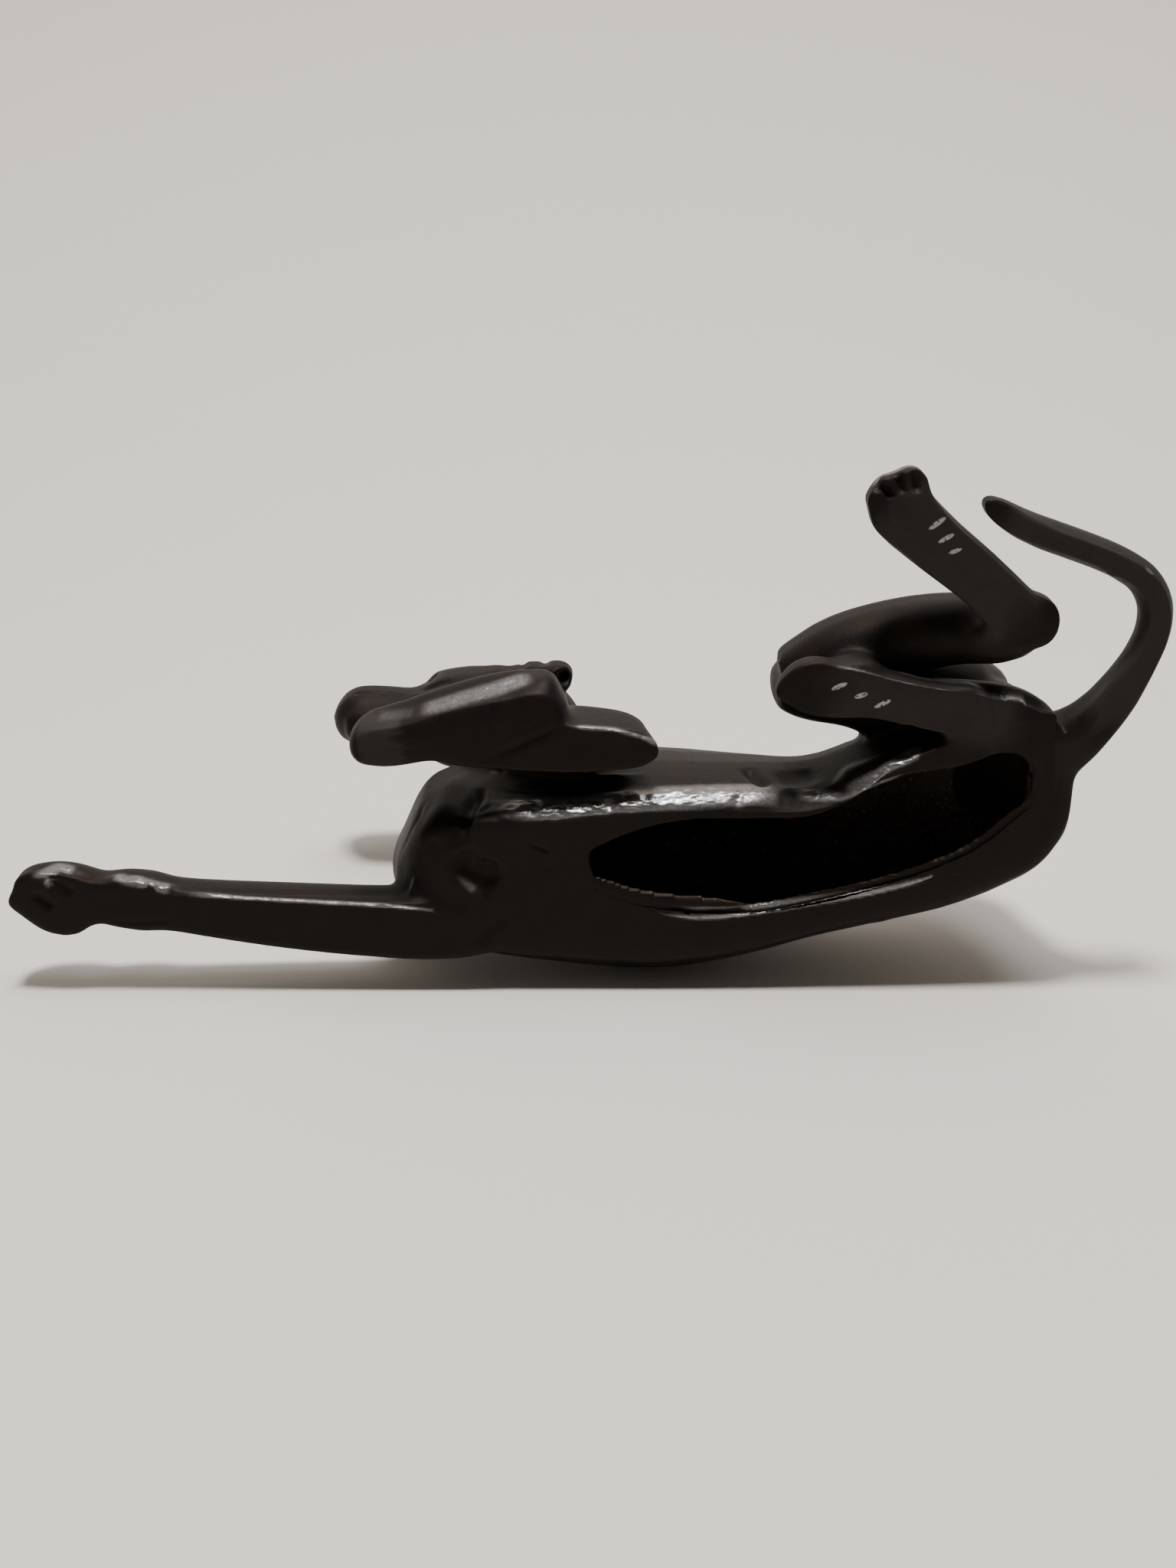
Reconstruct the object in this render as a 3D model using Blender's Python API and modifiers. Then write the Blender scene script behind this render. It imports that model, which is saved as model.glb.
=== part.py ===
# Cast iron hound lying down, one hollow casting open at its flat underside.
# Frame: metres, +Z up, the head towards -X, the dog's left side towards -Y,
# the origin on the ground under the middle of the casting's box.

import bpy
import bmesh
import numpy as np
from mathutils import Matrix, Vector

# Driving dimensions
LENGTH = 0.250              # from the stretched paw to the outside of the tail's curl
WALL = 0.0040               # iron left round the hollow of the body
RIM_BROAD = 0.0036          # flat rim beside the hollow, belly side
RIM_NARROW = 0.0020         # lip beside the hollow, back side
BREAST_SOLID = 0.0440       # iron before the hollow, from the breast's tip along X
RUMP_SOLID = 0.0100         # iron behind the hollow, to the rump's end along X
SECTION_STEP = 0.0020       # spacing of the sections that a form is drawn through
BLEND_GRAIN = 0.0010        # grain at which the forms are fused into one skin
BLEND_PASSES = 7            # smoothing of the fused skin, in passes
SKIN_FACES = 0.062          # share of the fused skin's faces that the casting keeps
HOLLOW_END = 0.35           # share of the hollow's width and height that its ends keep

# Free forms are given in parts of the length, counted from a point in the trunk
PARTS = 246.4
MIDDLE = (-3.2, 6.9)
U = LENGTH / PARTS
RING_SIDES = 28
SOLE = 5                    # squareness of a leg's half next to the ground
HOLLOW_RINGS = 25
IRON_COLOUR = (0.012, 0.011, 0.011, 1.0)
IRON_ROUGHNESS = 0.32
IRON_METALLIC = 0.35

# Trunk sections from breast to rump. Each is: x, underside (left y, right y, z),
# left side (y, z), right side (y, z), back (y, z)
TRUNK = [
    (-43, (40, 46, 14), (38, 25), (50, 25), (44, 34)),
    (-38, (32, 49, 7), (27, 24), (56, 24), (41, 43)),
    (-30, (28, 50, 2.6), (23.4, 27), (59, 21), (39, 49)),
    (-18, (25.6, 48, -0.5), (20.6, 28), (61, 17), (39, 54)),
    (-4, (23.2, 45, -1), (19, 24), (63, 15), (41, 56)),
    (18, (21.6, 45, -1), (17.6, 19), (65, 17), (43, 55)),
    (36, (21.4, 45, -1), (18.2, 20), (62, 20), (45, 50)),
    (50, (19.6, 42, -1), (18.2, 22), (58, 22), (45, 44)),
    (64, (11, 38.5, -1), (11, 20), (54.5, 22), (41, 41)),
    (80, (7.6, 33, -1), (2.4, 22), (50, 20), (29, 45)),
    (91, (0, 28, -1), (-1, 18), (44.5, 18), (23, 41)),
    (98, (5, 24, -1), (3.4, 14), (39, 16), (20, 32)),
    (103.5, (12, 21, 4), (10.5, 12), (31, 14), (19, 21)),
]
FULLNESS = {"low left": 0.75, "low right": 0.72, "high left": 0.85, "high right": 0.9}

# Round forms: x, y, z, half width, half height, from root to tip
NECK = [
    (-3, 41.5, 36, 19, 22),
    (-9, 38.5, 48, 15.5, 18.5),
    (-14, 35, 59, 12.6, 15),
    (-17, 31.6, 69, 11.2, 13),
    (-18, 29.5, 77, 9.5, 10),
]
SKULL = [
    (-4, 28.5, 74, 3.6, 5),
    (-9, 28.5, 76.5, 8.2, 9.4),
    (-17, 28.5, 79, 11.4, 12),
    (-27, 28.5, 79.5, 12.6, 12.3),
    (-33, 28.4, 79, 12.4, 11.4),
    (-37.5, 28.2, 78.2, 11.4, 10.2),
    (-41, 27.8, 77.2, 8.7, 8.8),
    (-44.5, 27.4, 76.6, 6.8, 7.6),
    (-48, 27.2, 76.2, 7.2, 7),
    (-54, 26.8, 76, 7.3, 6.6),
    (-59, 26.6, 75.8, 6.9, 6.4),
    (-61.8, 26.4, 75.6, 5.3, 5.2),
    (-63.6, 26.2, 75.8, 2.5, 2.8),
]
JAW = [
    (-24, 28.5, 70.5, 9, 6),
    (-34, 28.2, 69.4, 8.4, 5),
    (-45, 27.4, 69, 5.8, 3.8),
    (-55, 27, 69, 5.2, 3.2),
    (-60, 27, 69.8, 3.4, 2.4),
]
EAR = [
    (-29, 20.2, 81, 3, 3),
    (-23.6, 19, 81.4, 3.7, 3.6),
    (-19.6, 19.2, 81.6, 3.2, 3.4),
    (-15, 18, 81.2, 3.7, 3.6),
    (-11, 17.8, 80.6, 3.4, 3.6),
    (-8, 17, 79, 3.7, 3.8),
    (-6.4, 16.6, 75.8, 3.9, 3.9),
]
EAR_MOUTH = ((-5.6, 16.4, 74.2), 2.9)
EAR_DEPTH = 3.4

RIGHT_ARM = [
    (-33, 46, 33, 10, 12),
    (-31, 49, 22, 9.5, 11),
    (-24, 50, 11, 8, 9),
    (-18, 50, 9, 6, 7),
]
RIGHT_FOREARM = [
    (-19, 49.6, 8, 5, 7.6),
    (-26, 50.6, 7.4, 6.6, 8.6),
    (-36, 50.6, 6.5, 7.2, 8.4),
    (-50, 49.8, 6, 7, 8),
    (-66, 48.4, 5.6, 6.5, 7.4),
    (-82, 46.6, 5.2, 5.6, 6.8),
    (-91, 45.3, 5, 5.2, 6.4),
    (-96.5, 44.6, 5, 6, 7.2),
    (-102.5, 43.9, 5, 5.8, 6.8),
    (-106.5, 43.6, 5, 5, 5.8),
    (-110.5, 43.6, 5, 6.4, 6.8),
    (-116, 43.2, 5, 7, 7),
    (-121, 42.6, 4.8, 6, 6),
    (-124, 42, 4.4, 3.4, 3.8),
]
LEFT_ARM = [
    (-20, 25, 38, 9, 11),
    (-13, 19, 30, 8, 10),
    (-5, 13.5, 20, 6.6, 8),
    (2, 9.5, 11, 5.6, 7),
]
LEFT_FOREARM = [
    (-40, 9.6, 9, 2, 4),
    (-30, 9, 8.4, 3, 5.6),
    (-24, 8.6, 7.4, 3.6, 6.6),
    (-20, 8.2, 6, 4, 7.6),
    (-12, 7.9, 5.4, 4.9, 10.4),
    (-4, 7.7, 6, 5.4, 11.2),
    (3.5, 8, 6, 4.9, 11),
    (7, 8.1, 4.4, 4.5, 8.8),
    (10, 8.1, 2.4, 4, 5.4),
    (13, 8.3, 1, 2.8, 2.8),
    (15.4, 8.7, 0.3, 1, 1.2),
]
LEFT_FOREPAW = [
    (-50.8, 8, 7.4, 1.8, 2.4),
    (-49, 8, 7.5, 4.2, 4.8),
    (-46.4, 8, 7.6, 6, 6.2),
    (-43.3, 7.8, 7.8, 6.8, 6.7),
    (-38.4, 6.9, 8, 7, 6.9),
    (-33.5, 5.4, 8, 7.3, 7),
    (-27, 3.6, 8.2, 7.6, 7.2),
    (-20.5, 2, 8.4, 7.8, 7.3),
    (-16.5, 1.2, 8.4, 7.8, 7.2),
    (-12.5, 0.6, 8.2, 7.4, 6.8),
    (-8.5, 0.6, 7.8, 6, 6.1),
    (-5.8, 0.9, 7.4, 3.8, 4.4),
]
LEFT_THIGH = [
    (93, 9, 29, 8, 10),
    (86, 9, 31, 12, 13),
    (72, 5.2, 30, 11.6, 14),
    (58, 2, 27.5, 8.8, 12),
    (47, 1.4, 25, 6.8, 9.4),
    (41, 1.4, 24, 4.2, 5.6),
]
LEFT_SHANK = [
    (43, -1.6, 22.5, 5.6, 6.2),
    (54, -7, 20.5, 8, 8),
    (66, -11.5, 18.5, 8, 8),
    (77, -14.5, 15.5, 7.2, 8),
    (86, -15.5, 11, 6.4, 8),
    (91, -17, 7, 4.8, 6),
]
LEFT_METATARSUS = [
    (91.4, -16.4, 3.8, 4, 4.8),
    (88.4, -19.6, 3.6, 5.7, 6.8),
    (80.2, -27.7, 3.4, 5.6, 6.6),
    (70.4, -35.5, 3.4, 6, 6.4),
    (64, -41, 3.4, 6.4, 6.2),
    (61, -44.2, 3.4, 6.2, 6),
    (59.6, -46, 3, 4.4, 4.6),
]
RIGHT_FOOT = [
    (96, 5, 5, 5, 8),
    (89, 1.8, 4.6, 6, 7.8),
    (80, -0.2, 4, 5.6, 7),
    (70, -1.6, 3.6, 5, 6.6),
    (60, -3.9, 3.4, 4.9, 6.6),
    (52, -4.6, 3.2, 5.6, 6.6),
    (46.5, -5.7, 3, 6.1, 6),
    (42.7, -5.4, 2.4, 4.5, 4.8),
    (40.2, -5.1, 1.4, 2.4, 3),
    (38.6, -4.6, 0.6, 0.8, 1.4),
]
TAIL = [
    (92, 18, 15, 8, 9),
    (99, 11, 10, 6.2, 7.4),
    (105.5, 3.5, 5.6, 4.6, 6),
    (111.5, -5.5, 4.2, 3.9, 5),
    (115.6, -14, 4, 3.5, 4.8),
    (116.4, -21.5, 4, 3.5, 4.8),
    (113.2, -27.8, 4, 3.4, 4.8),
    (107, -31.8, 4, 3.3, 4.8),
    (99.4, -34.8, 4, 3.3, 4.8),
    (92, -37.4, 4, 3.3, 4.6),
    (86, -40, 4, 3, 4.2),
    (81.5, -42.8, 3.6, 2.4, 3.6),
    (78.4, -44.8, 3, 1.2, 1.8),
]

# Muscles and joints as ellipsoids: centre, half sizes
BULGES = {
    "breast": ((-30, 32, 22), (7.5, 8.5, 18)),
    "right shoulder": ((-34, 44, 26), (11, 11, 15)),
    "left shoulder": ((-17, 27, 38), (14, 9, 15)),
    "right blade": ((-6, 49, 40), (15, 9, 15)),
    "left flank": ((20, 27, 28), (16, 7, 16)),
    "right hip": ((64, 45, 17), (8, 8.6, 11)),
    "rump": ((87, 21, 30), (13, 16, 14)),
    "left brow": ((-36, 21.5, 84.5), (5.5, 4, 3.6)),
    "right brow": ((-36, 35.5, 84.5), (5.5, 4, 3.6)),
    "nose": ((-62.4, 27.4, 77.4), (2.4, 3.4, 2.6)),
    "left hock": ((92, -19.5, 5), (4.6, 5.6, 6)),
    "right hock": ((91, 2, 6), (5, 5, 7)),
}

# Toes: centre, half sizes, turn about the vertical in degrees
TOES = [
    ((-119.4, 39.2, 4.4), (5.6, 3.2, 4.6), -8),
    ((-121.4, 43.6, 4.8), (5.4, 3, 5), 0),
    ((-115.5, 48.6, 3.8), (6.2, 3, 4.4), 10),
    ((57.8, -44.8, 3.8), (2.8, 3, 4), 0),
    ((59.6, -47, 4), (3, 2.8, 4.2), 0),
    ((64, -47.4, 4.2), (3.8, 4.2, 4.6), 0),
    ((55, -8.6, 6), (6, 3, 5), -6),
    ((-10, -4.4, 9), (4.2, 3, 4), 0),
    ((-7.4, -0.6, 8), (3.6, 3, 4.2), 0),
    ((-6.8, 3.4, 6.4), (3.2, 2.6, 4), 0),
]


def between(stations, spacing):
    """Stations of a smooth curve through the given ones, about one spacing apart."""
    rows = np.array(stations, dtype=float)
    ends = np.vstack([2 * rows[0] - rows[1], rows, 2 * rows[-1] - rows[-2]])
    result = []
    for i in range(1, len(rows)):
        before, start, stop, after = ends[i - 1:i + 3]
        gap = np.linalg.norm((stop - start)[:3])
        steps = max(1, round(gap / spacing))
        for t in np.arange(steps) / steps:
            result.append(0.5 * (2 * start + (stop - before) * t
                                 + (2 * before - 5 * start + 4 * stop - after) * t ** 2
                                 + (3 * start - before - 3 * stop + after) * t ** 3))
    result.append(rows[-1])
    return np.array(result)


def skin_rings(bm, rings):
    """Close a run of point rings into one body, with a flat face at each end."""
    loops = [[bm.verts.new(point) for point in ring] for ring in rings]
    for lower, upper in zip(loops, loops[1:]):
        for i, corner in enumerate(lower):
            j = (i + 1) % len(lower)
            bm.faces.new((corner, lower[j], upper[j], upper[i]))
    for loop in (loops[0], loops[-1]):
        bm.faces.new(loop)
    bmesh.ops.recalc_face_normals(bm, faces=bm.faces)


def limb(bm, stations, across=None, squareness=2.2, sole=None):
    """A round limb through stations of x, y, z, half width and half height.

    A sole is the squareness of the half below its centres, which makes it stand upright there.
    """
    rows = between(stations, SECTION_STEP / U) * U
    centres = rows[:, :3]
    along = np.gradient(centres, axis=0)
    angles = np.linspace(0, 2 * np.pi, RING_SIDES, endpoint=False)
    cosines, sines = np.cos(angles), np.sin(angles)
    power = np.where(sines < 0, 2 / (sole or squareness), 2 / squareness)
    wide = np.sign(cosines) * np.abs(cosines) ** power
    high = np.sign(sines) * np.abs(sines) ** power
    rings = []
    for centre, way, (half_width, half_height) in zip(centres, along, rows[:, 3:]):
        way = Vector(way).normalized()
        side = Vector(across) if across else way.cross(Vector((0, 0, 1)))
        side = (side - way * side.dot(way)).normalized()
        rise = way.cross(side)
        rise *= 1 if rise.z > 0 else -1
        rings.append([Vector(centre) + side * (half_width * a) + rise * (half_height * b)
                      for a, b in zip(wide, high)])
    skin_rings(bm, rings)


def ellipsoid(bm, centre, half_sizes, turn=0.0):
    place = (Matrix.Translation(Vector(centre) * U)
             @ Matrix.Rotation(np.radians(turn), 4, "Z")
             @ Matrix.Diagonal((*(Vector(half_sizes) * U), 1)))
    bmesh.ops.create_uvsphere(bm, u_segments=20, v_segments=12, radius=1, matrix=place)


def quarter(start, stop, corner, fullness, steps=6):
    """A rounded corner from start to stop, drawn towards corner by fullness."""
    start, stop, corner = (np.array(point, dtype=float) for point in (start, stop, corner))
    pull = (start + stop) / 2 * (1 - fullness) + corner * fullness
    return [(1 - t) ** 2 * start + 2 * t * (1 - t) * pull + t ** 2 * stop
            for t in np.arange(steps) / steps]


def trunk_outline(under, left, right, back):
    """The closed outline, in y and z, of one section of the trunk."""
    left_foot, right_foot = (under[0], under[2]), (under[1], under[2])
    return np.array(
        quarter(right_foot, right, (right[0], under[2]), FULLNESS["low right"])
        + quarter(right, back, (right[0], back[1]), FULLNESS["high right"])
        + quarter(back, left, (left[0], back[1]), FULLNESS["high left"])
        + quarter(left, left_foot, (left[0], under[2]), FULLNESS["low left"]))


def trunk_sections(places):
    """The trunk's x, underside, left side, right side and back at new places along X."""
    rows = np.array([(x, *under, *left, *right, *back) for x, under, left, right, back in TRUNK],
                    dtype=float) * U
    slopes = np.gradient(rows, rows[:, 0], axis=0)
    result = []
    for place in places:
        i = int(np.clip(np.searchsorted(rows[:, 0], place) - 1, 0, len(rows) - 2))
        gap = rows[i + 1, 0] - rows[i, 0]
        t = (place - rows[i, 0]) / gap
        row = ((2 * t ** 3 - 3 * t ** 2 + 1) * rows[i]
               + (t ** 3 - 2 * t ** 2 + t) * gap * slopes[i]
               + (3 * t ** 2 - 2 * t ** 3) * rows[i + 1]
               + (t ** 3 - t ** 2) * gap * slopes[i + 1])
        result.append((row[0], row[1:4], row[4:6], row[6:8], row[8:10]))
    return result


def trunk(bm):
    places = np.arange(TRUNK[0][0] * U, TRUNK[-1][0] * U + SECTION_STEP / 2, SECTION_STEP)
    skin_rings(bm, [[(x, y, z) for y, z in trunk_outline(*outline)]
                    for x, *outline in trunk_sections(places)])


def head(bm):
    limb(bm, NECK, across=(0, 1, 0), squareness=2)
    limb(bm, SKULL, across=(0, 1, 0), squareness=2.3)
    limb(bm, JAW, across=(0, 1, 0))
    middle = SKULL[0][1]
    for mirrored in (False, True):
        ear = [(x, 2 * middle - y if mirrored else y, z, w, h) for x, y, z, w, h in EAR]
        limb(bm, ear, across=(0, 1, 0), squareness=2)


def figure_mesh():
    """All the forms of the dog, still overlapping."""
    bm = bmesh.new()
    trunk(bm)
    head(bm)
    limb(bm, RIGHT_ARM, across=(0, 1, 0))
    limb(bm, RIGHT_FOREARM, across=(0, 1, 0), squareness=2.4)
    limb(bm, LEFT_ARM, across=(0, 1, 0))
    limb(bm, LEFT_FOREARM, across=(0, 1, 0), squareness=4.5, sole=SOLE)
    limb(bm, LEFT_FOREPAW, squareness=2.8)
    limb(bm, LEFT_THIGH, across=(0, 1, 0))
    limb(bm, LEFT_SHANK)
    limb(bm, LEFT_METATARSUS, squareness=2.6, sole=SOLE)
    limb(bm, RIGHT_FOOT, squareness=2.6, sole=SOLE)
    limb(bm, TAIL, squareness=2.6)
    for centre, half_sizes in BULGES.values():
        ellipsoid(bm, centre, half_sizes)
    for centre, half_sizes, turn in TOES:
        ellipsoid(bm, centre, half_sizes, turn)
    mesh = bpy.data.meshes.new("dog_casting")
    bm.to_mesh(mesh)
    bm.free()
    return mesh


def hollow_mesh():
    """The space inside the body: the trunk one wall in, open at the underside."""
    front = TRUNK[0][0] * U + BREAST_SOLID
    rear = TRUNK[-1][0] * U - RUMP_SOLID
    middle = (front + rear) / 2
    half = (rear - front) / 2
    below_ground = -2 * WALL
    rings = []
    for x, under, left, right, back in trunk_sections(np.linspace(front, rear, HOLLOW_RINGS)):
        close = max(HOLLOW_END, (1 - ((x - middle) / half) ** 4) ** 0.5)
        low, high = under[0] + RIM_BROAD, under[1] - RIM_NARROW
        centre = (low + high) / 2
        points = trunk_outline(
            (low, high, 0.0),
            (min(left[0] + WALL, low), left[1]),
            (right[0] - WALL, right[1]),
            (back[0], back[1] - WALL))
        rings.append([(x, centre + (y - centre) * close, z * close) for y, z in points]
                     + [(x, centre + (y - centre) * close, below_ground) for y in (low, high)])
    bm = bmesh.new()
    skin_rings(bm, rings)
    mesh = bpy.data.meshes.new("hollow")
    bm.to_mesh(mesh)
    bm.free()
    return mesh


def ground_mesh():
    bm = bmesh.new()
    size = 2 * LENGTH
    place = Matrix.Translation((0, 0, -size / 2)) @ Matrix.Diagonal((size, size, size, 1))
    bmesh.ops.create_cube(bm, size=1, matrix=place)
    mesh = bpy.data.meshes.new("ground")
    bm.to_mesh(mesh)
    bm.free()
    return mesh


def ear_mouth_mesh(side):
    bm = bmesh.new()
    (x, y, z), radius = EAR_MOUTH
    if side == "right":
        y = 2 * SKULL[0][1] - y
    ellipsoid(bm, (x, y, z), (EAR_DEPTH, radius, radius))
    mesh = bpy.data.meshes.new(f"{side}_ear_mouth")
    bm.to_mesh(mesh)
    bm.free()
    return mesh


def iron():
    material = bpy.data.materials.new("black_japanned_iron")
    material.use_nodes = True
    shader = material.node_tree.nodes["Principled BSDF"]
    shader.inputs["Base Color"].default_value = IRON_COLOUR
    shader.inputs["Roughness"].default_value = IRON_ROUGHNESS
    shader.inputs["Metallic"].default_value = IRON_METALLIC
    return material


def centred(obj):
    """Bring the forms' frame to the middle of the casting."""
    obj.location = (-MIDDLE[0] * U, -MIDDLE[1] * U, 0)
    return obj


def new_collection(name):
    collection = bpy.data.collections.new(name)
    bpy.context.scene.collection.children.link(collection)
    return collection


def cutter(collection, mesh):
    obj = bpy.data.objects.new(mesh.name, mesh)
    obj.hide_render = True
    obj.display_type = "WIRE"
    collection.objects.link(obj)
    return centred(obj)


def cut(obj, tool):
    boolean = obj.modifiers.new(f"cut_{tool.name}", "BOOLEAN")
    boolean.operation = "DIFFERENCE"
    boolean.solver = "EXACT"
    boolean.object = tool


def build():
    for obj in list(bpy.data.objects):
        bpy.data.objects.remove(obj, do_unlink=True)
    parts = new_collection("cast_iron_dog")
    cutters = new_collection("cutters")

    casting = centred(bpy.data.objects.new("dog_casting", figure_mesh()))
    parts.objects.link(casting)
    casting.data.materials.append(iron())

    blend = casting.modifiers.new("blend", "REMESH")
    blend.mode = "VOXEL"
    blend.voxel_size = BLEND_GRAIN
    soften = casting.modifiers.new("soften", "SMOOTH")
    soften.factor = 0.5
    soften.iterations = BLEND_PASSES
    for side in ("left", "right"):
        cut(casting, cutter(cutters, ear_mouth_mesh(side)))
    thin = casting.modifiers.new("thin", "DECIMATE")
    thin.ratio = SKIN_FACES
    cut(casting, cutter(cutters, ground_mesh()))
    cut(casting, cutter(cutters, hollow_mesh()))


build()
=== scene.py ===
"""Cast iron hound, black japanned, lying on its right side with its hollow underside to the camera."""
import math

import bpy
import numpy as np
from mathutils import Matrix, Vector, noise
from mathutils.bvhtree import BVHTree


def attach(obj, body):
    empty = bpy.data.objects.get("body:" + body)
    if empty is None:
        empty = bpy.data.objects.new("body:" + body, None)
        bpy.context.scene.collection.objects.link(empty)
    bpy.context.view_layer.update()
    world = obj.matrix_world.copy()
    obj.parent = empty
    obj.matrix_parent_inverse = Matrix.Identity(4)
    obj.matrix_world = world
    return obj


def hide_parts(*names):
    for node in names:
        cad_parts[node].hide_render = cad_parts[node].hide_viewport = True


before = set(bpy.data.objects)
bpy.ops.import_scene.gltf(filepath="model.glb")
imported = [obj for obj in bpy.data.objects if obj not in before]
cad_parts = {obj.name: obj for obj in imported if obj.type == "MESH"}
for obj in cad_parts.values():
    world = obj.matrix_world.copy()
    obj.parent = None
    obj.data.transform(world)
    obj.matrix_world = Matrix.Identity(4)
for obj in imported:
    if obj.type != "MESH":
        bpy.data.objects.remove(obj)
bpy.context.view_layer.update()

# The forms are placed in parts of the casting's length, counted from a point in the trunk
LENGTH = 0.250
PARTS = 246.4
U = LENGTH / PARTS          # one part in metres
MIDDLE = (-3.2, 6.9)

# The camera: its eye in parts, how far it looks down, its lens and film in mm, the picture in pixels
EYE = (0, -120.6, -336.6)
PITCH = math.radians(22)
LENS = 39.55
SENSOR = 36
PICTURE = (1536, 2048)

JOINED = 0.00002            # corners of the casting's loose triangles closer than this are one
FLAT_DOWN = -0.98           # a face turned down more than this belongs to a sole or a rim
ON_GROUND = 0.0002          # if it also lies as close to the ground as this
GRAIN = 0.00062             # grain of the remeshed skin
FOOT_DEPTH = 0.003          # how far the soles reach below the ground before they are pressed flat
SOLE_EDGE = 0.0009          # rounding of the soles' edges
FLAT_MARK = 1.2             # marks whose path stays lower than this belong to the flat soles
STROKE_END = 0.2            # share of a stroke's path over which it fades at each end
PAINT_END = 0.12
FAINTEST_END = 0.2
SHARP = math.radians(50)    # folds sharper than this keep a crisp edge
GROUP_STEPS = 10            # steps in which a vertex group is kept
FLAT_NORMALS = 90           # how strongly large faces set the shading of the small ones beside them
UNPAINTED = 0.02            # paint weaker than this leaves the skin plain, and free to be thinned out
OFF_FLAT = 0.06             # turn of the skin over which the rubbed wear and painted highlights begin beside a sole
MOST_TRIANGLES = 192000

# Rounds of smoothing: the whole skin, the left forefoot, and the skin once its soles are flat
WHOLE_ROUNDS = 16
ROUNDEST_ROUNDS = 90
LAST_ROUNDS = 5
SMOOTHING = 0.5

TABLE = 0.0592              # the sheet that the right side lies on, along Y
FLOOR_FRONT = -4.0
FLOOR_RUN = 8.0
FLOOR_HALF_WIDTH = 4.0
BEND_START = 0.16
BEND_RADIUS = 0.30

# Large edges worked first: name, width, height (below zero they are rounded off) and path
ROUNDED = [
    ("club upper edge", 9, -2.2, [(-49, 3, 4), (-45, 1.8, 2.4), (-38.4, 0.4, 2.2), (-30, -1.8, 2),
     (-20.5, -4.6, 2), (-12.5, -5.8, 2.4), (-8, -5, 3)]),
    ("club lower edge", 8, -1.7, [(-49, 13, 4), (-45, 13.8, 2.4), (-38.4, 12.8, 2.2), (-29, 11, 2)]),
    ("club front", 6, 0.9, [(-46, 7.4, 1.6), (-38, 6.4, 1.1), (-29, 4.4, 1.1), (-20, 2, 1.3)]),
    ("hollow corner", 5, 2.2, [(-3, 35, 0), (0.5, 38.8, 0), (5, 40.6, 0), (11, 42.2, 0),
     (18, 43.2, 0), (26, 43.6, 0), (36, 43.8, 0)]),
    ("hock", 5, -2.0, [(80, -6.5, 0), (86, -4.6, 0), (92, -2.2, 0), (96, 1, 0)]),
    ("tail outer edge", 3.2, -1.1, [(114, 3, 0), (119.6, -14, 0), (120, -22, 0), (115, -30, 0),
     (107, -35, 0), (92, -40.6, 0), (81, -45.4, 0)]),
    ("tail inner edge", 3.2, -1.0, [(106, -6, 0), (112.4, -14, 0), (112.8, -22, 0), (109, -26, 0),
     (99, -31.6, 0), (86, -37, 0), (80, -41, 0)]),
    ("left sole outer edge", 2.6, -0.6, [(94, -20, 0), (84, -31, 0), (74, -40, 0), (68, -46, 0)]),
    ("left sole inner edge", 2.6, -0.6, [(84, -16, 0), (76, -24, 0), (66, -31, 0), (58, -39, 0)]),
    ("right sole edge", 2.4, -0.6, [(52, -11.4, 0), (60, -8.8, 0), (70, -6.6, 0), (80, -5.8, 0)]),
    ("rim", 5, -1.9, [(-24, 25.5, 0), (-4, 23.2, 0), (18, 21.6, 0), (36, 21.4, 0), (50, 19.6, 0),
     (62, 12.5, 0), (72, 8.6, 0)]),
    ("chest", 5, -1.4, [(-24, 25.5, 0), (-30, 28, 1.5), (-35, 31, 3.5)]),
    ("lower rim", 4, -1.0, [(10, 62.5, 0), (36, 59.5, 0), (50, 56, 0), (64, 52.5, 0), (80, 48, 0),
     (91, 43, 0)]),
]

# The folded forefoot, or club, is rounded more than the rest: name, width, strength and path
ROUNDEST = [("club", 11, 1.6, [(-47, 9, 7), (-38, 6.5, 7), (-28, 4, 7.5), (-18, 0.6, 7.5), (-13, -1, 7.5)])]

# A fold of crumpled skin: its length in widths, its slant both ways, and how steep it is
FOLD_LENGTH = 3
FOLD_SLANT = (1.4, 0.7)
FOLD_STEEP = 2.5

# The crumpled stretch of the rim: width in parts, size and height of a fold in metres, seed and path
WRINKLED = (5.0, 0.0017, 0.00042, 14.6, [
    (-22.5, 24.4, 4.5), (-11, 23.6, 3), (-1, 22.6, 2.6), (10, 21.6, 3), (21.5, 21, 3.4),
    (31.5, 21, 4), (43, 20.8, 4.4)])

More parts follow.
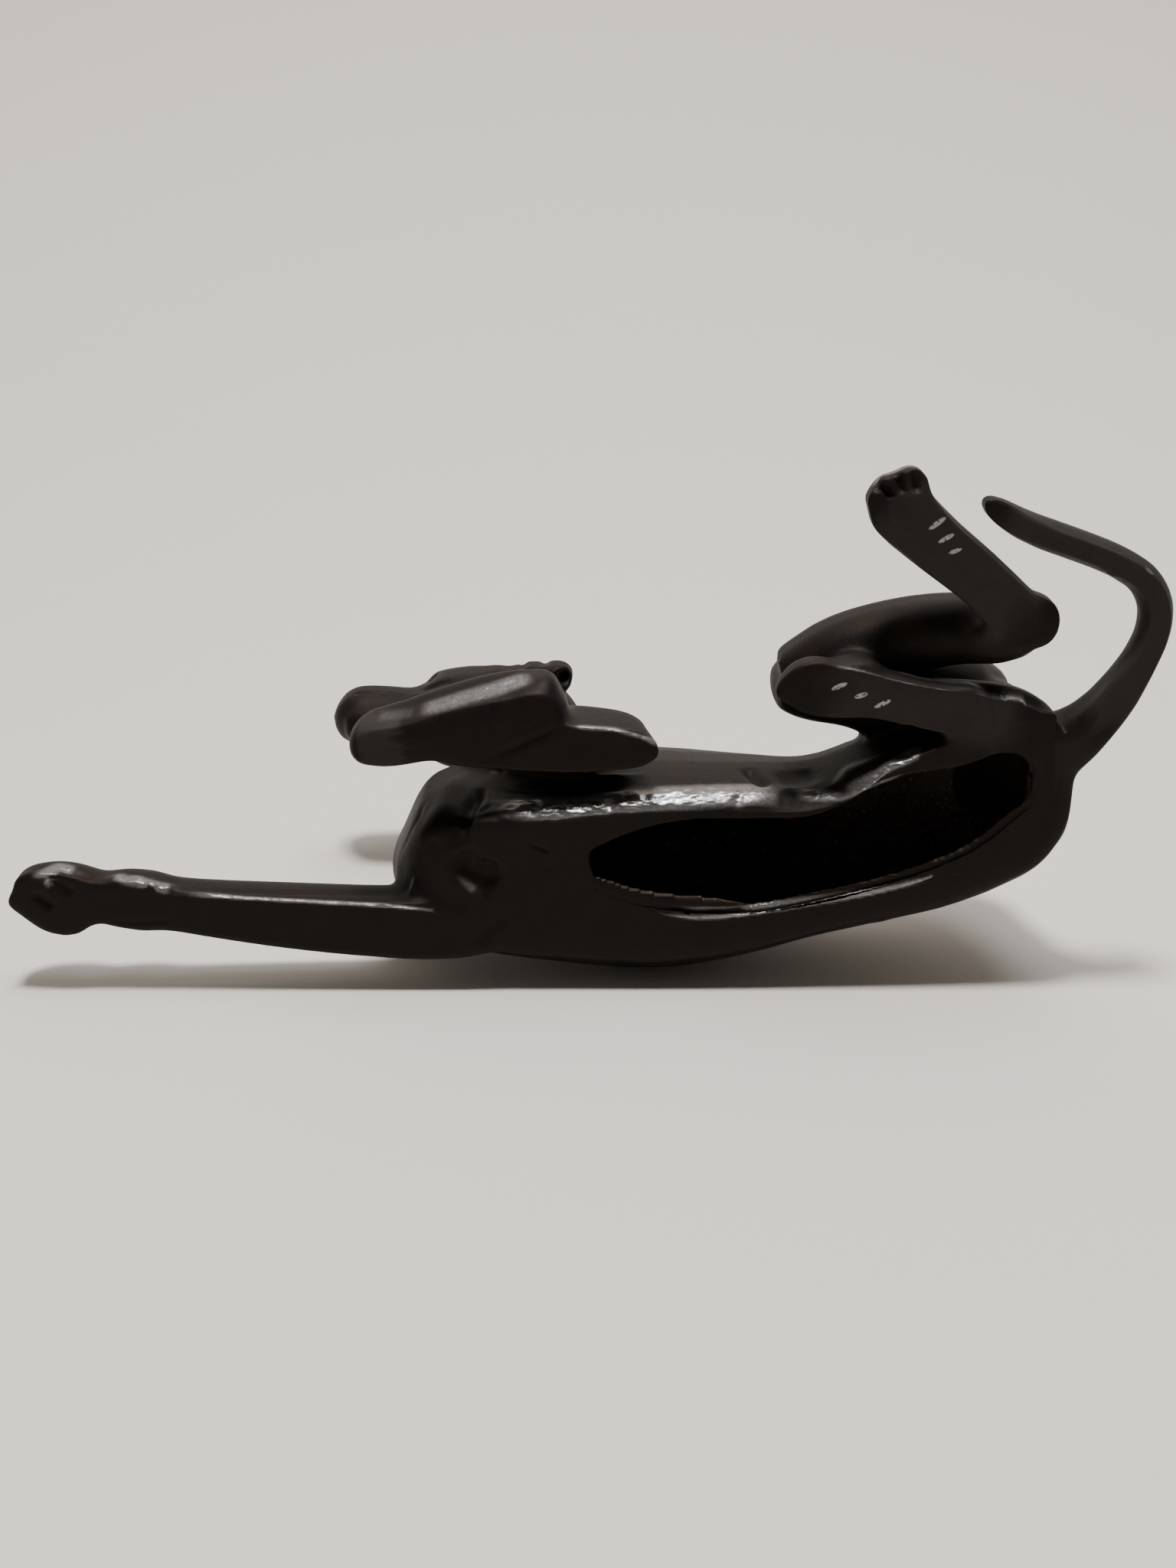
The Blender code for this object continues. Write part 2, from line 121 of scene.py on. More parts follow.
# Modelled marks: name, width, height (below zero it is cut in) and the path along the skin.
# A point of three numbers is in parts. A point of two lies in the picture, and on the skin behind it.
STROKES = [
    ("mouth left", 0.9, -0.8, [(-63.4, 22.6, 72.4), (-60, 19.6, 72.2), (-54, 19.4, 71.8),
     (-48, 20.2, 71.6), (-43, 19.4, 72.6)]),
    ("mouth right", 0.9, -0.8, [(-63.4, 30.4, 72.4), (-60, 33.8, 72.2), (-54, 34.2, 71.8),
     (-48, 34.4, 71.6), (-43, 36.2, 72.6)]),
    ("mouth front", 0.9, -0.8, [(-63.4, 22.6, 72.4), (-64.6, 26.3, 72.6), (-63.4, 30.4, 72.4)]),
    ("nostril left", 1.1, -1.0, [(-64.8, 25.4, 77.6)]),
    ("nostril right", 1.1, -1.0, [(-64.8, 29.4, 77.6)]),
    ("eye socket left", 3.0, -1.1, [(-39.6, 19.6, 81)]),
    ("eye socket right", 3.0, -1.1, [(-39.6, 37, 81)]),
    ("eye left", 1.5, 1.3, [(-39.8, 19.8, 80.8)]),
    ("eye right", 1.5, 1.3, [(-39.8, 36.8, 80.8)]),
    ("stop", 2.6, -0.9, [(-44, 27.4, 84.4), (-37, 28.2, 88.6), (-28, 28.4, 91.8)]),
    ("crown notch left", 1.6, -1.0, [(-16.4, 17, 84), (-16.6, 14.6, 80), (-16.6, 15.4, 77)]),
    ("crown notch ear", 1.4, -0.9, [(-11, 17, 84.4), (-11, 14, 80), (-11, 14.6, 77)]),
    ("ear mouth", 2.6, -2.0, [(-5.6, 16.4, 74.2)]),
    ("cheek left", 1.4, -0.7, [(-43, 20.6, 75), (-36, 18, 73), (-29, 17.4, 70)]),
    ("cheek right", 1.4, -0.7, [(-43, 35.2, 75), (-36, 38.6, 73), (-29, 39.4, 70)]),
    ("shoulder left", 3.2, -1.0, [(4, 22, 56), (-2, 17, 44), (-6, 17, 32), (-12, 19, 22)]),
    ("shoulder right", 3.2, -1.0, [(6, 60, 54), (2, 63, 44), (-2, 64.5, 32), (-8, 64, 20)]),
    ("haunch left", 3.0, -0.9, [(66, 24, 42), (61, 16, 34), (58, 12, 24)]),
    ("haunch right", 3.0, -0.9, [(68, 50, 42), (61, 54, 36), (56, 57, 24)]),
    ("spine", 3.4, 0.7, [(0, 41, 56), (18, 43, 55), (36, 45, 50), (50, 45, 44), (64, 41, 41)]),
    ("rib left a", 1.8, -0.4, [(12, 24, 48), (14, 18.5, 36), (15, 18, 26)]),
    ("rib left b", 1.8, -0.4, [(19, 24, 48), (21, 18.5, 36), (22, 18, 26)]),
    ("rib left c", 1.8, -0.4, [(26, 25, 47), (28, 19, 36), (29, 18.5, 28)]),
    ("rib right a", 1.8, -0.4, [(12, 62, 46), (14, 65, 34), (15, 65, 24)]),
    ("rib right b", 1.8, -0.4, [(19, 62, 46), (21, 65, 34), (22, 65, 24)]),
    ("rib right c", 1.8, -0.4, [(26, 61, 45), (28, 64, 34), (29, 64, 24)]),
    ("club edge", 1.8, 0.5, [(500, 927), (530, 922), (560, 914), (600, 899), (640, 888), (680, 880),
     (700, 880)]),
    ("club under edge", 2.2, 0.35, [(478, 965), (520, 972), (560, 970), (600, 962)]),
    ("toe crease upper", 1.0, -0.6, [(735, 902), (715, 900), (698, 905), (680, 912)]),
    ("toe crease middle", 1.0, -0.6, [(742, 918), (720, 922), (700, 928), (682, 936)]),
    ("toe crease lower", 1.0, -0.6, [(742, 934), (722, 940), (700, 946), (684, 952)]),
    ("nail upper", 1.0, 0.6, [(722, 898), (714, 892)]),
    ("club crease a", 0.8, -0.35, [(592, 950), (606, 948)]),
    ("club crease b", 0.8, -0.35, [(616, 943), (626, 941)]),
    ("club crease c", 0.8, -0.35, [(640, 935), (652, 932)]),
    ("club and plate", 1.7, -0.45, [(638, 990), (658, 983), (676, 976), (700, 964), (722, 955),
     (742, 946)]),
    ("plate upper edge", 0.8, 0.35, [(744, 947), (770, 949), (800, 952), (830, 958), (850, 968),
     (862, 977)]),
    ("thin layer", 1.5, 1.0, [(662, 1014), (700, 1017), (740, 1018), (780, 1018), (820, 1016),
     (845, 1012)]),
    ("under the layer", 2.6, -1.2, [(650, 1030), (700, 1032), (750, 1032), (800, 1030), (840, 1024)]),
    ("club foot dark", 2.0, -1.2, [(640, 1000), (650, 1006), (664, 1010)]),
    ("pillar", 4.5, 1.6, [(598, 1012), (590, 1035), (582, 1060), (572, 1090), (562, 1112)]),
    ("pillar groove", 2.6, -2.2, [(628, 1030), (618, 1050), (610, 1075), (608, 1100)]),
    ("breast fold", 1.6, -0.8, [(556, 1046), (548, 1070), (536, 1098), (527, 1130)]),
    ("chest ridge", 2.2, 2.0, [(-33.8, 35.2, 5.2), (-35.5, 38.3, 5.8), (-37, 42, 4.6),
     (-38, 44.5, 3)]),
    ("chest ridge right", 1.9, 1.5, [(572, 1120), (590, 1138), (612, 1158), (632, 1174)]),
    ("chest hollow", 2.6, -1.7, [(-28.2, 34.4, 1.6), (-27.4, 37.6, 1.6), (-25.4, 40, 1.4)]),
    ("chest surround", 5.5, -2.0, [(-27.5, 30.6, 1.1), (-25.8, 35, 1), (-21.7, 37.6, 0.3), (-19, 39.4, 0)]),
    ("chest dent", 2.2, -1.2, [(-24.6, 34.6, 0.8), (-22, 34.8, 0.2), (-19.6, 35, 0)]),
    ("chest streak a", 0.7, -0.4, [(560, 1130), (552, 1146)]),
    ("chest streak b", 0.7, -0.4, [(568, 1134), (564, 1152)]),
    ("chest streak c", 0.7, -0.4, [(576, 1138), (578, 1156)]),
    ("chest streak d", 0.7, -0.4, [(600, 1158), (594, 1174)]),
    ("chest streak e", 0.7, -0.4, [(612, 1164), (606, 1180)]),
    ("sole end", 2.4, -0.45, [(612, 1238), (640, 1216), (668, 1193)]),
    ("shoulder mark", 0.9, -0.5, [(690, 1102), (706, 1108), (720, 1114)]),
    ("rim break", 1.2, -0.5, [(640, 1042), (700, 1044), (760, 1044), (820, 1041)]),
    ("flank crease", 2.2, -1.3, [(974, 1004), (985, 1016), (1002, 1030)]),
    ("flank pillow", 6, 1.3, [(1090, 1018), (1120, 1010), (1150, 1000), (1175, 985)]),
    ("pillow shadow", 2.2, -1.2, [(1082, 1032), (1110, 1030), (1140, 1020), (1168, 1004)]),
    ("saddle", 5, -0.9, [(1010, 1018), (1040, 1018), (1070, 1010)]),
    ("pocket", 3.5, -2.2, [(1186, 972), (1200, 960), (1214, 952)]),
    ("nub", 2.2, 1.5, [(1200, 958), (1204, 964)]),
    ("groin line", 1.5, -0.9, [(1130, 950), (1160, 952), (1190, 950), (1215, 945)]),
    ("lip groove two", 1.3, -0.45, [(822, 1177), (870, 1188), (911, 1191), (960, 1189), (1040, 1179),
     (1100, 1170), (1160, 1160)]),
    ("lip groove", 1.3, -0.55, [(850, 1190), (910, 1195), (960, 1192), (1040, 1182), (1110, 1169),
     (1170, 1156), (1235, 1142)]),
    ("lip notch", 0.9, -0.5, [(1230, 1120), (1238, 1130)]),
    ("underside scratch", 0.7, -0.35, [(1252, 1140), (1246, 1152)]),
    ("foreleg upper groove", 1.2, -0.5, [(240, 1163), (300, 1167), (380, 1168), (460, 1168),
     (530, 1170)]),
    ("foreleg edge", 0.9, 0.35, [(232, 1169), (320, 1177), (420, 1182), (500, 1187), (560, 1193),
     (612, 1214)]),
    ("carpus a", 1.6, 0.8, [(145, 1146), (158, 1150)]),
    ("carpus b", 1.6, 0.8, [(172, 1148), (188, 1151)]),
    ("carpus c", 1.6, 0.8, [(190, 1157), (206, 1160)]),
    ("carpus d", 1.6, 0.8, [(216, 1160), (228, 1165)]),
    ("carpus gap a", 1.0, -0.7, [(164, 1142), (166, 1158)]),
    ("carpus gap b", 1.0, -0.7, [(210, 1156), (212, 1168)]),
    ("toe gap a", 2.0, -0.75, [(58, 1150), (78, 1156), (96, 1170)]),
    ("toe gap b", 1.8, -0.9, [(82, 1136), (104, 1142), (122, 1154)]),
    ("toe gap c", 2.0, -0.75, [(40, 1168), (56, 1176), (70, 1188)]),
    ("sole curl", 1.1, -0.22, [(140, 1195), (150, 1204), (185, 1205), (220, 1203), (234, 1188)]),
    ("left sole edge", 0.8, 0.4, [(1146, 640), (1152, 622), (1216, 646)]),
    ("left hind toe a", 1.4, -1.4, [(56.2, -47.9, 1.1), (58.9, -47.1, 0.2), (60.4, -45.4, 0)]),
    ("left hind toe b", 1.4, -1.4, [(60.4, -50.4, 1.1), (61.4, -48.6, 0.3), (62.5, -46.2, 0)]),
    ("left hind toe c", 1.4, -1.4, [(64.4, -50.6, 1.1), (64.7, -48.8, 0.3), (64.9, -46.4, 0)]),
    ("thigh fold", 1.6, -1.2, [(1270, 776), (1276, 800), (1282, 830), (1284, 862)]),
    ("right foot line", 0.8, 0.5, [(1086, 868), (1120, 879), (1155, 889), (1190, 897), (1240, 906),
     (1296, 913)]),
    ("right foot upper line", 0.8, 0.5, [(1100, 857), (1140, 869), (1180, 880), (1235, 890),
     (1290, 897)]),
    ("right foot groove", 0.8, -0.5, [(1095, 863), (1140, 876), (1185, 888), (1240, 898),
     (1292, 905)]),
    ("right foot cross", 0.8, -0.45, [(1297, 914), (1299, 940), (1297, 960)]),
    ("hock swell", 3.0, 0.8, [(1312, 912), (1328, 914), (1343, 918)]),
    ("tail ridge", 1.2, 0.6, [(1290, 668), (1340, 684), (1400, 712), (1450, 744), (1490, 830)]),
    ("rump corner", 2.4, 1.2, [(1374, 946), (1384, 972), (1394, 998)]),
    ("rump fold", 1.4, -0.8, [(1380, 940), (1398, 968), (1404, 1000)]),
]

# Rubbed wear and painted highlights, as bare iron: name, width, strength and the path along the skin
RUBBED_AND_HIGHLIGHTS = [
    ("rim", 4.2, 1.0, [(632, 1056), (700, 1056), (760, 1056), (830, 1046), (900, 1040), (960, 1037),
     (1030, 1036)]),
    ("rim behind", 2.4, 1.0, [(1035, 1036), (1100, 1034), (1150, 1016), (1190, 986), (1200, 972)]),
    ("club band", 3.4, 0.7, [(540, 924), (580, 914), (640, 896), (700, 881)]),
    ("club left", 3.0, 0.3, [(490, 932), (512, 928), (540, 924)]),
    ("chest left", 2.6, 0.9, [(556, 1140), (564, 1124), (574, 1132)]),
    ("chest right", 1.8, 0.7, [(584, 1133), (603, 1150), (622, 1166)]),
    ("foreleg edge", 1.2, 0.9, [(232, 1168), (320, 1176), (420, 1181), (500, 1185), (560, 1193),
     (612, 1214)]),
    ("carpus", 2.4, 0.8, [(146, 1145), (170, 1150), (200, 1158), (226, 1164)]),
    ("toes", 2.6, 0.8, [(46, 1156), (60, 1146), (78, 1132), (98, 1138)]),
    ("hock", 3.8, 1.0, [(1308, 914), (1326, 914), (1344, 916)]),
    ("plate edge", 0.9, 0.8, [(746, 949), (800, 953), (850, 968), (861, 975)]),
    ("left hind toes", 1.2, 0.7, [(56.4, -46.7, 1.7), (58.1, -49.1, 3.6), (64, -50.8, 3.6),
     (67.6, -46.4, 1)]),
    ("right foot line", 0.9, 0.7, [(1086, 868), (1155, 889), (1240, 906), (1296, 913)]),
    ("right foot upper line", 0.9, 0.6, [(1100, 857), (1180, 880), (1290, 897)]),
    ("lip", 1.0, 0.9, [(832, 1192), (870, 1198), (910, 1200), (960, 1197), (1060, 1180),
     (1120, 1170), (1180, 1157), (1240, 1142), (1328, 1098)]),
    ("lip inner", 1.2, 0.7, [(880, 1180), (905, 1189), (960, 1188), (1040, 1179), (1160, 1159)]),
    ("tail", 1.4, 0.6, [(1486, 764), (1504, 744)]),
    ("tail root", 2.2, 0.7, [(1396, 980), (1414, 980)]),
]

# Dry, dusty paint: name, width, strength and the path along the skin
DUSTY = [
    ("left sole", 12, 1.0, [(90, -18, 0), (58, -46, 0)]),
    ("right sole", 10, 0.7, [(92, 2, 0), (70, -1, 0), (46, -6, 0)]),
    ("tail", 9, 1.0, [(104, 4, 0), (114, -12, 0), (114, -24, 0), (99, -35, 0), (80, -43, 0)]),
    ("club end", 10, 0.8, [(-48, 8, 4), (-38, 6, 1)]),
    ("rump", 12, 0.4, [(100, 4, 0), (104, 20, 3)]),
]

# The hollow along X: place, middle line and half width, in parts like the values below
HOLLOW = [(-16, 47, 12), (0, 45, 17), (18, 44, 20), (50, 39, 19), (64, 34, 21), (80, 27, 21), (91, 22, 19)]
HOLLOW_DEEP = 58
HOLLOW_END = 97             # where it ends behind, along X
MOUTH = 0.4                 # height of its mouth's edge
LIP = 2.5                   # height of the smooth lip round the mouth
LIP_FADE = 4                # height over which the sand-cored wall above it turns rough
SAND = (0.0016, 0.0006, (21.3, 11.1, 15.9))     # size and height of a grain of that wall, and seed

# Dabs of pale paint on the hind soles: middle, half length, half width and turn in degrees
DABS = [
    (69.4, -40.4, 2.2, 0.6, -38),
    (71.4, -37.4, 1.9, 0.55, -30),
    (73.4, -34.8, 1.5, 0.5, -22),
    (51.8, -6.3, 1.9, 0.6, -24),
    (56.4, -4.3, 1.6, 0.6, -18),
    (61, -2.5, 2.1, 0.55, -26),
]
DAB_REACH = 0.0012          # how far up from the ground they reach


def at(x, y, z):
    """A point given in parts, in metres from the casting's origin."""
    return Vector(((x - MIDDLE[0]) * U, (y - MIDDLE[1]) * U, z * U))


def camera_axes():
    """The picture's right and up, and the way back from what it shows."""
    across = Vector((1, 0, 0))
    upward = Vector((0, -math.cos(PITCH), math.sin(PITCH)))
    return across, upward, across.cross(upward)


def behind_picture(skin, u, v):
    """The first point of the skin behind a point of the picture, in metres."""
    across, upward, back = camera_axes()
    pixel = SENSOR / LENS / max(PICTURE)
    way = across * (u - PICTURE[0] / 2) * pixel - upward * (v - PICTURE[1] / 2) * pixel - back
    return skin.ray_cast(at(*EYE), way)[0]


def laid_on(skin, marks):
    """Marks with their paths in metres."""
    return [(name, width, strength,
             np.array([at(*point) if len(point) == 3 else behind_picture(skin, *point)
                       for point in path]))
            for name, width, strength, path in marks]


def lies_flat(mark):
    """True for a mark whose path never leaves the flat soles."""
    return mark[3][:, 2].max() < FLAT_MARK * U


# Modelling by hand, in small steps

def only(piece):
    if bpy.context.object is not None and bpy.context.object.mode != "OBJECT":
        bpy.ops.object.mode_set(mode="OBJECT")
    bpy.ops.object.select_all(action="DESELECT")
    piece.select_set(True)
    bpy.context.view_layer.objects.active = piece


def apply(piece, kind, **settings):
    only(piece)
    modifier = piece.modifiers.new(kind.lower(), kind)
    for key, value in settings.items():
        setattr(modifier, key, value)
    bpy.ops.object.modifier_apply(modifier=modifier.name)


def merged_copy(node, name):
    """A free copy of a casting's mesh with its loose triangles joined."""
    piece = bpy.data.objects.new(name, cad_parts[node].data.copy())
    bpy.context.scene.collection.objects.link(piece)
    only(piece)
    bpy.ops.object.mode_set(mode="EDIT")
    bpy.ops.mesh.select_all(action="SELECT")
    bpy.ops.mesh.remove_doubles(threshold=JOINED)
    bpy.ops.mesh.normals_make_consistent(inside=False)
    bpy.ops.object.mode_set(mode="OBJECT")
    return piece


def reach_below_ground(piece):
    """Draw the flat soles and rims straight down, so that smoothing leaves their edges alone."""
    mesh = piece.data
    only(piece)
    for polygon in mesh.polygons:
        polygon.select = polygon.normal.z < FLAT_DOWN and abs(polygon.center.z) < ON_GROUND
    bpy.ops.object.mode_set(mode="EDIT")
    bpy.ops.mesh.select_mode(type="FACE")
    bpy.ops.mesh.extrude_region_move(TRANSFORM_OT_translate={"value": (0, 0, -FOOT_DEPTH)})
    bpy.ops.object.mode_set(mode="OBJECT")


class Clay:
    """A piece's skin, worked by strokes that move its points along their normals."""

    def __init__(self, piece):
        self.piece = piece
        self.mesh = piece.data
        count = len(self.mesh.vertices)
        self.points = np.empty(count * 3)
        self.mesh.vertices.foreach_get("co", self.points)
        self.points = self.points.reshape(-1, 3)
        self.read_normals()

    def read_normals(self):
        normals = np.empty(len(self.points) * 3)
        self.mesh.vertices.foreach_get("normal", normals)
        self.normals = normals.reshape(-1, 3)

    def press_to_ground(self):
        """Press what reaches below the ground into a flat sole with a rounded edge."""
        turn = np.clip((self.points[:, 2] + FOOT_DEPTH) / (FOOT_DEPTH + SOLE_EDGE), 0, 1) * math.pi / 2
        low = self.points[:, 2] < SOLE_EDGE
        inward = np.where(low, SOLE_EDGE * (1 - np.sin(turn)), 0)
        self.points[:, :2] -= self.normals[:, :2] * inward[:, None]
        self.points[low, 2] = SOLE_EDGE * (1 - np.cos(turn[low]))

    def stay_above_ground(self):
        self.points[:, 2] = np.maximum(self.points[:, 2], 0)
        self.settle()

    def settle(self):
        self.mesh.vertices.foreach_set("co", self.points.ravel())
        self.mesh.update()
        self.read_normals()

    def near(self, path, reach):
        """Indices within reach of a path of points, their distances to it and places along it."""
        low, high = path.min(0) - reach, path.max(0) + reach
        picked = np.nonzero(np.all((self.points > low) & (self.points < high), axis=1))[0]
        spots = self.points[picked]
        best = np.full(len(picked), np.inf)
        along = np.zeros(len(picked))
        runs = np.linalg.norm(np.diff(path, axis=0), axis=1) if len(path) > 1 else np.array([])
        total = max(runs.sum(), 1e-9)
        if len(path) == 1:
            best = np.linalg.norm(spots - path[0], axis=1)
            along += 0.5
        done = 0.0
        for start, stop, run in zip(path, path[1:], runs):
            way = (stop - start) / max(run, 1e-12)
            share = np.clip((spots - start) @ way, 0, run)
            gap = np.linalg.norm(spots - start - share[:, None] * way, axis=1)
            closer = gap < best
            best = np.where(closer, gap, best)
            along = np.where(closer, (done + share) / total, along)
            done += run
        inside = best < reach
        return picked[inside], best[inside], along[inside]

    def stroke(self, path, width, height):
        """Raise (or sink, below zero) the skin along a path, width and height in parts."""
        picked, gap, along = self.near(path, width * U)
        fall = (1 - (gap / (width * U)) ** 2) ** 2
        ends = np.clip(np.minimum(along, 1 - along) / STROKE_END, 0, 1) if len(path) > 1 else 1
        move = fall * ends * height * U
        self.points[picked] += self.normals[picked] * move[:, None]

    def wrinkle(self, width, size, height, seed, path):
        """Crumple the skin along a path into slanting folds."""
        path = np.array([at(*point) for point in path])
        picked, gap, along = self.near(path, width * U)
        fall = 1 - (gap / (width * U)) ** 2
        for i, share in zip(picked, fall):
            x, y, z = self.points[i]
            down = y + z
            spot = Vector(((x + FOLD_SLANT[0] * down) / (FOLD_LENGTH * size),
                           (down - FOLD_SLANT[1] * x) / size, seed))
            fold = 1 - FOLD_STEEP * abs(noise.noise(spot))
            self.points[i] += self.normals[i] * (fold * share * height)

    def roughen(self, where, size, height, seed):
        """Grain of a given size over the points that where (0 to 1 each) picks out."""
        shift = Vector(seed)
        for i in np.nonzero(where > 0.01)[0]:
            spot = Vector(self.points[i]) / size + shift
            self.points[i] += self.normals[i] * (noise.noise(spot) * height * where[i])

    def inside_hollow(self):
        """1 for the points on the wall of the hollow, 0 for the rest."""
        x, middle, half = (np.array(column) for column in zip(*HOLLOW))
        spots = self.points / U + (MIDDLE[0], MIDDLE[1], 0)
        across = np.interp(spots[:, 0], x, middle) - spots[:, 1]
        facing = across * self.normals[:, 1] - (HOLLOW_DEEP / 2 - spots[:, 2]) * -self.normals[:, 2]
        near = (np.abs(across) < np.interp(spots[:, 0], x, half)) & (spots[:, 2] < HOLLOW_DEEP)
        near &= (spots[:, 0] > x[0]) & (spots[:, 0] < HOLLOW_END) & (spots[:, 2] > MOUTH)
        return (near & (facing > 0)).astype(float)

    def group(self, name, values):
        """Keep a value at each point, held between 0 and 1, as a vertex group in even steps."""
        group = self.piece.vertex_groups.new(name=name)
        steps = np.ceil(np.clip(values, 0, 1) * GROUP_STEPS).astype(int)
        for step in range(1, GROUP_STEPS + 1):
            group.add(np.nonzero(steps == step)[0].tolist(), step / GROUP_STEPS, "REPLACE")

    def below_lip(self):
        """0 at the lip of the hollow and 1 where its sand-cored wall is at its roughest."""
        return np.clip((self.points[:, 2] / U - LIP) / LIP_FADE, 0, 1)

    def mask(self, name, values):
        """Keep a value from 0 to 1 at each point for the material."""
        layer = self.mesh.attributes.new(name, "FLOAT", "POINT")
        layer.data.foreach_set("value", values.astype(np.float32))

    def painted(self, marks):
        """Soft strokes of paint over the skin, each mark with its width and strength."""
        values = np.zeros(len(self.points))
        for _, width, strength, path in marks:
            picked, gap, along = self.near(path, width * U)
            ends = np.clip(np.minimum(along, 1 - along) / PAINT_END, FAINTEST_END, 1)
            fall = (1 - (gap / (width * U)) ** 2) * ends * strength
            values[picked] = np.maximum(values[picked], fall)
        return values

    def off_the_flat(self):
        """0 on the flat soles and 1 where the skin turns away from them."""
        return np.clip((1 + self.normals[:, 2]) / OFF_FLAT, 0, 1)


def thin_out(piece, plain):
    """Thin the mesh out where it is plain, down to the number of triangles allowed."""
    mesh = piece.data
    only(piece)
    dense = 0
    for polygon in mesh.polygons:
        polygon.select = all(plain[i] for i in polygon.vertices)
        dense += 0 if polygon.select else len(polygon.vertices) - 2
    total = sum(len(polygon.vertices) - 2 for polygon in mesh.polygons)
    bpy.ops.object.mode_set(mode="EDIT")
    bpy.ops.mesh.select_mode(type="FACE")
    bpy.ops.mesh.decimate(ratio=(MOST_TRIANGLES - dense) / (total - dense))
    bpy.ops.object.mode_set(mode="OBJECT")


def work_in(clay, marks):
    for _, width, height, path in marks:
        clay.stroke(path, width, height)


def modelled(piece, skin):
    """The casting's faceted skin remeshed, smoothed and worked with every mark."""
    marks = laid_on(skin, STROKES)
    reach_below_ground(piece)
    apply(piece, "REMESH", mode="VOXEL", voxel_size=GRAIN)
    apply(piece, "SMOOTH", factor=SMOOTHING, iterations=WHOLE_ROUNDS)
    clay = Clay(piece)
    work_in(clay, laid_on(skin, ROUNDED))
    clay.settle()
    clay.group("roundest", clay.painted(laid_on(skin, ROUNDEST)))
    apply(piece, "SMOOTH", factor=SMOOTHING, iterations=ROUNDEST_ROUNDS, vertex_group="roundest")
    piece.vertex_groups.clear()
    clay = Clay(piece)
    work_in(clay, [mark for mark in marks if not lies_flat(mark)])
    clay.settle()
    clay.wrinkle(*WRINKLED)
    clay.roughen(clay.inside_hollow() * clay.below_lip(), *SAND)
    clay.settle()
    clay.press_to_ground()
    clay.settle()
    apply(piece, "SMOOTH", factor=SMOOTHING, iterations=LAST_ROUNDS)
    clay = Clay(piece)
    work_in(clay, filter(lies_flat, marks))
    clay.stay_above_ground()


def hound():
    piece = merged_copy("dog_casting", "hound")
    skin = BVHTree.FromPolygons([vertex.co for vertex in piece.data.vertices],
                                [polygon.vertices for polygon in piece.data.polygons])
    modelled(piece, skin)
    # the bare-iron marks paint highlights where the light glints, as well as rubbed wear
    rubbed_and_highlights = laid_on(skin, RUBBED_AND_HIGHLIGHTS)
    thin_out(piece, Clay(piece).painted(rubbed_and_highlights) < UNPAINTED)
    Clay(piece).stay_above_ground()
    bpy.ops.object.shade_smooth_by_angle(angle=SHARP)
    apply(piece, "WEIGHTED_NORMAL", keep_sharp=True, weight=FLAT_NORMALS)
    clay = Clay(piece)
    # the bare iron kept here is partly rubbed wear and partly painted highlights where the light glints
    clay.mask("rubbed_and_highlights", clay.painted(rubbed_and_highlights) * clay.off_the_flat())
    clay.mask("dusty", clay.painted(laid_on(skin, DUSTY)))
    clay.mask("hollow", clay.inside_hollow())
    return piece


# The iron's look

RELIEF_DEPTH = 0.0004
BLACK = (0.0045, 0.0042, 0.0045, 1)
BROWN = (0.0092, 0.0058, 0.0040, 1)
DUST = (0.022, 0.0195, 0.019, 1)
RUST = (0.045, 0.034, 0.028, 1)
SILVER = (0.30, 0.30, 0.31, 1)
# bright bare iron, for the rubbed wear and for the painted highlights
BARE_IRON_AND_SHEEN = (0.27, 0.265, 0.265, 1)


class Shade:
    """A shader value that can be used in ordinary sums."""

    def __init__(self, tree, socket):
        self.tree = tree
        self.socket = socket

    def node(self, kind, settings=(), inputs=(), output=0):
        made = self.tree.nodes.new(kind)
        for key, value in dict(settings).items():
            setattr(made, key, value)
        for key, value in dict(inputs).items():
            if isinstance(value, Shade):
                self.tree.links.new(value.socket, made.inputs[key])
            else:
                made.inputs[key].default_value = value
        return Shade(self.tree, made.outputs[output])

    def sum_with(self, operation, first, second):
        return self.node("ShaderNodeMath", {"operation": operation}, {0: first, 1: second})

    def __add__(self, other):
        return self.sum_with("ADD", self, other)

    def __radd__(self, other):
        return self.sum_with("ADD", other, self)

    def __sub__(self, other):
        return self.sum_with("SUBTRACT", self, other)

    def __rsub__(self, other):
        return self.sum_with("SUBTRACT", other, self)

    def __mul__(self, other):
        return self.sum_with("MULTIPLY", self, other)

    def __rmul__(self, other):
        return self.sum_with("MULTIPLY", other, self)

    def step(self, low, high):
        """0 below low, 1 above high, and a smooth ramp between."""
        return self.node("ShaderNodeMapRange", {"interpolation_type": "SMOOTHSTEP"},
                         {"Value": self, "From Min": low, "From Max": high})


def new_material(name):
    material = bpy.data.materials.new(name)
    material.use_nodes = True
    tree = material.node_tree
    shader = tree.nodes["Principled BSDF"]
    spot = tree.nodes.new("ShaderNodeTexCoord")
    return material, shader, Shade(tree, spot.outputs["Object"])


def grain(spot, scale, detail=3.0, roughness=0.55):
    return spot.node("ShaderNodeTexNoise", {}, {"Vector": spot, "Scale": scale,
                                                "Detail": detail, "Roughness": roughness})


def mix(factor, first, second):
    return factor.node("ShaderNodeMix", {"data_type": "RGBA"},
                       {0: factor, 6: first, 7: second}, output=2)


def kept(spot, name):
    """A value kept at the piece's points."""
    return spot.node("ShaderNodeAttribute", {"attribute_name": name}, output=2)


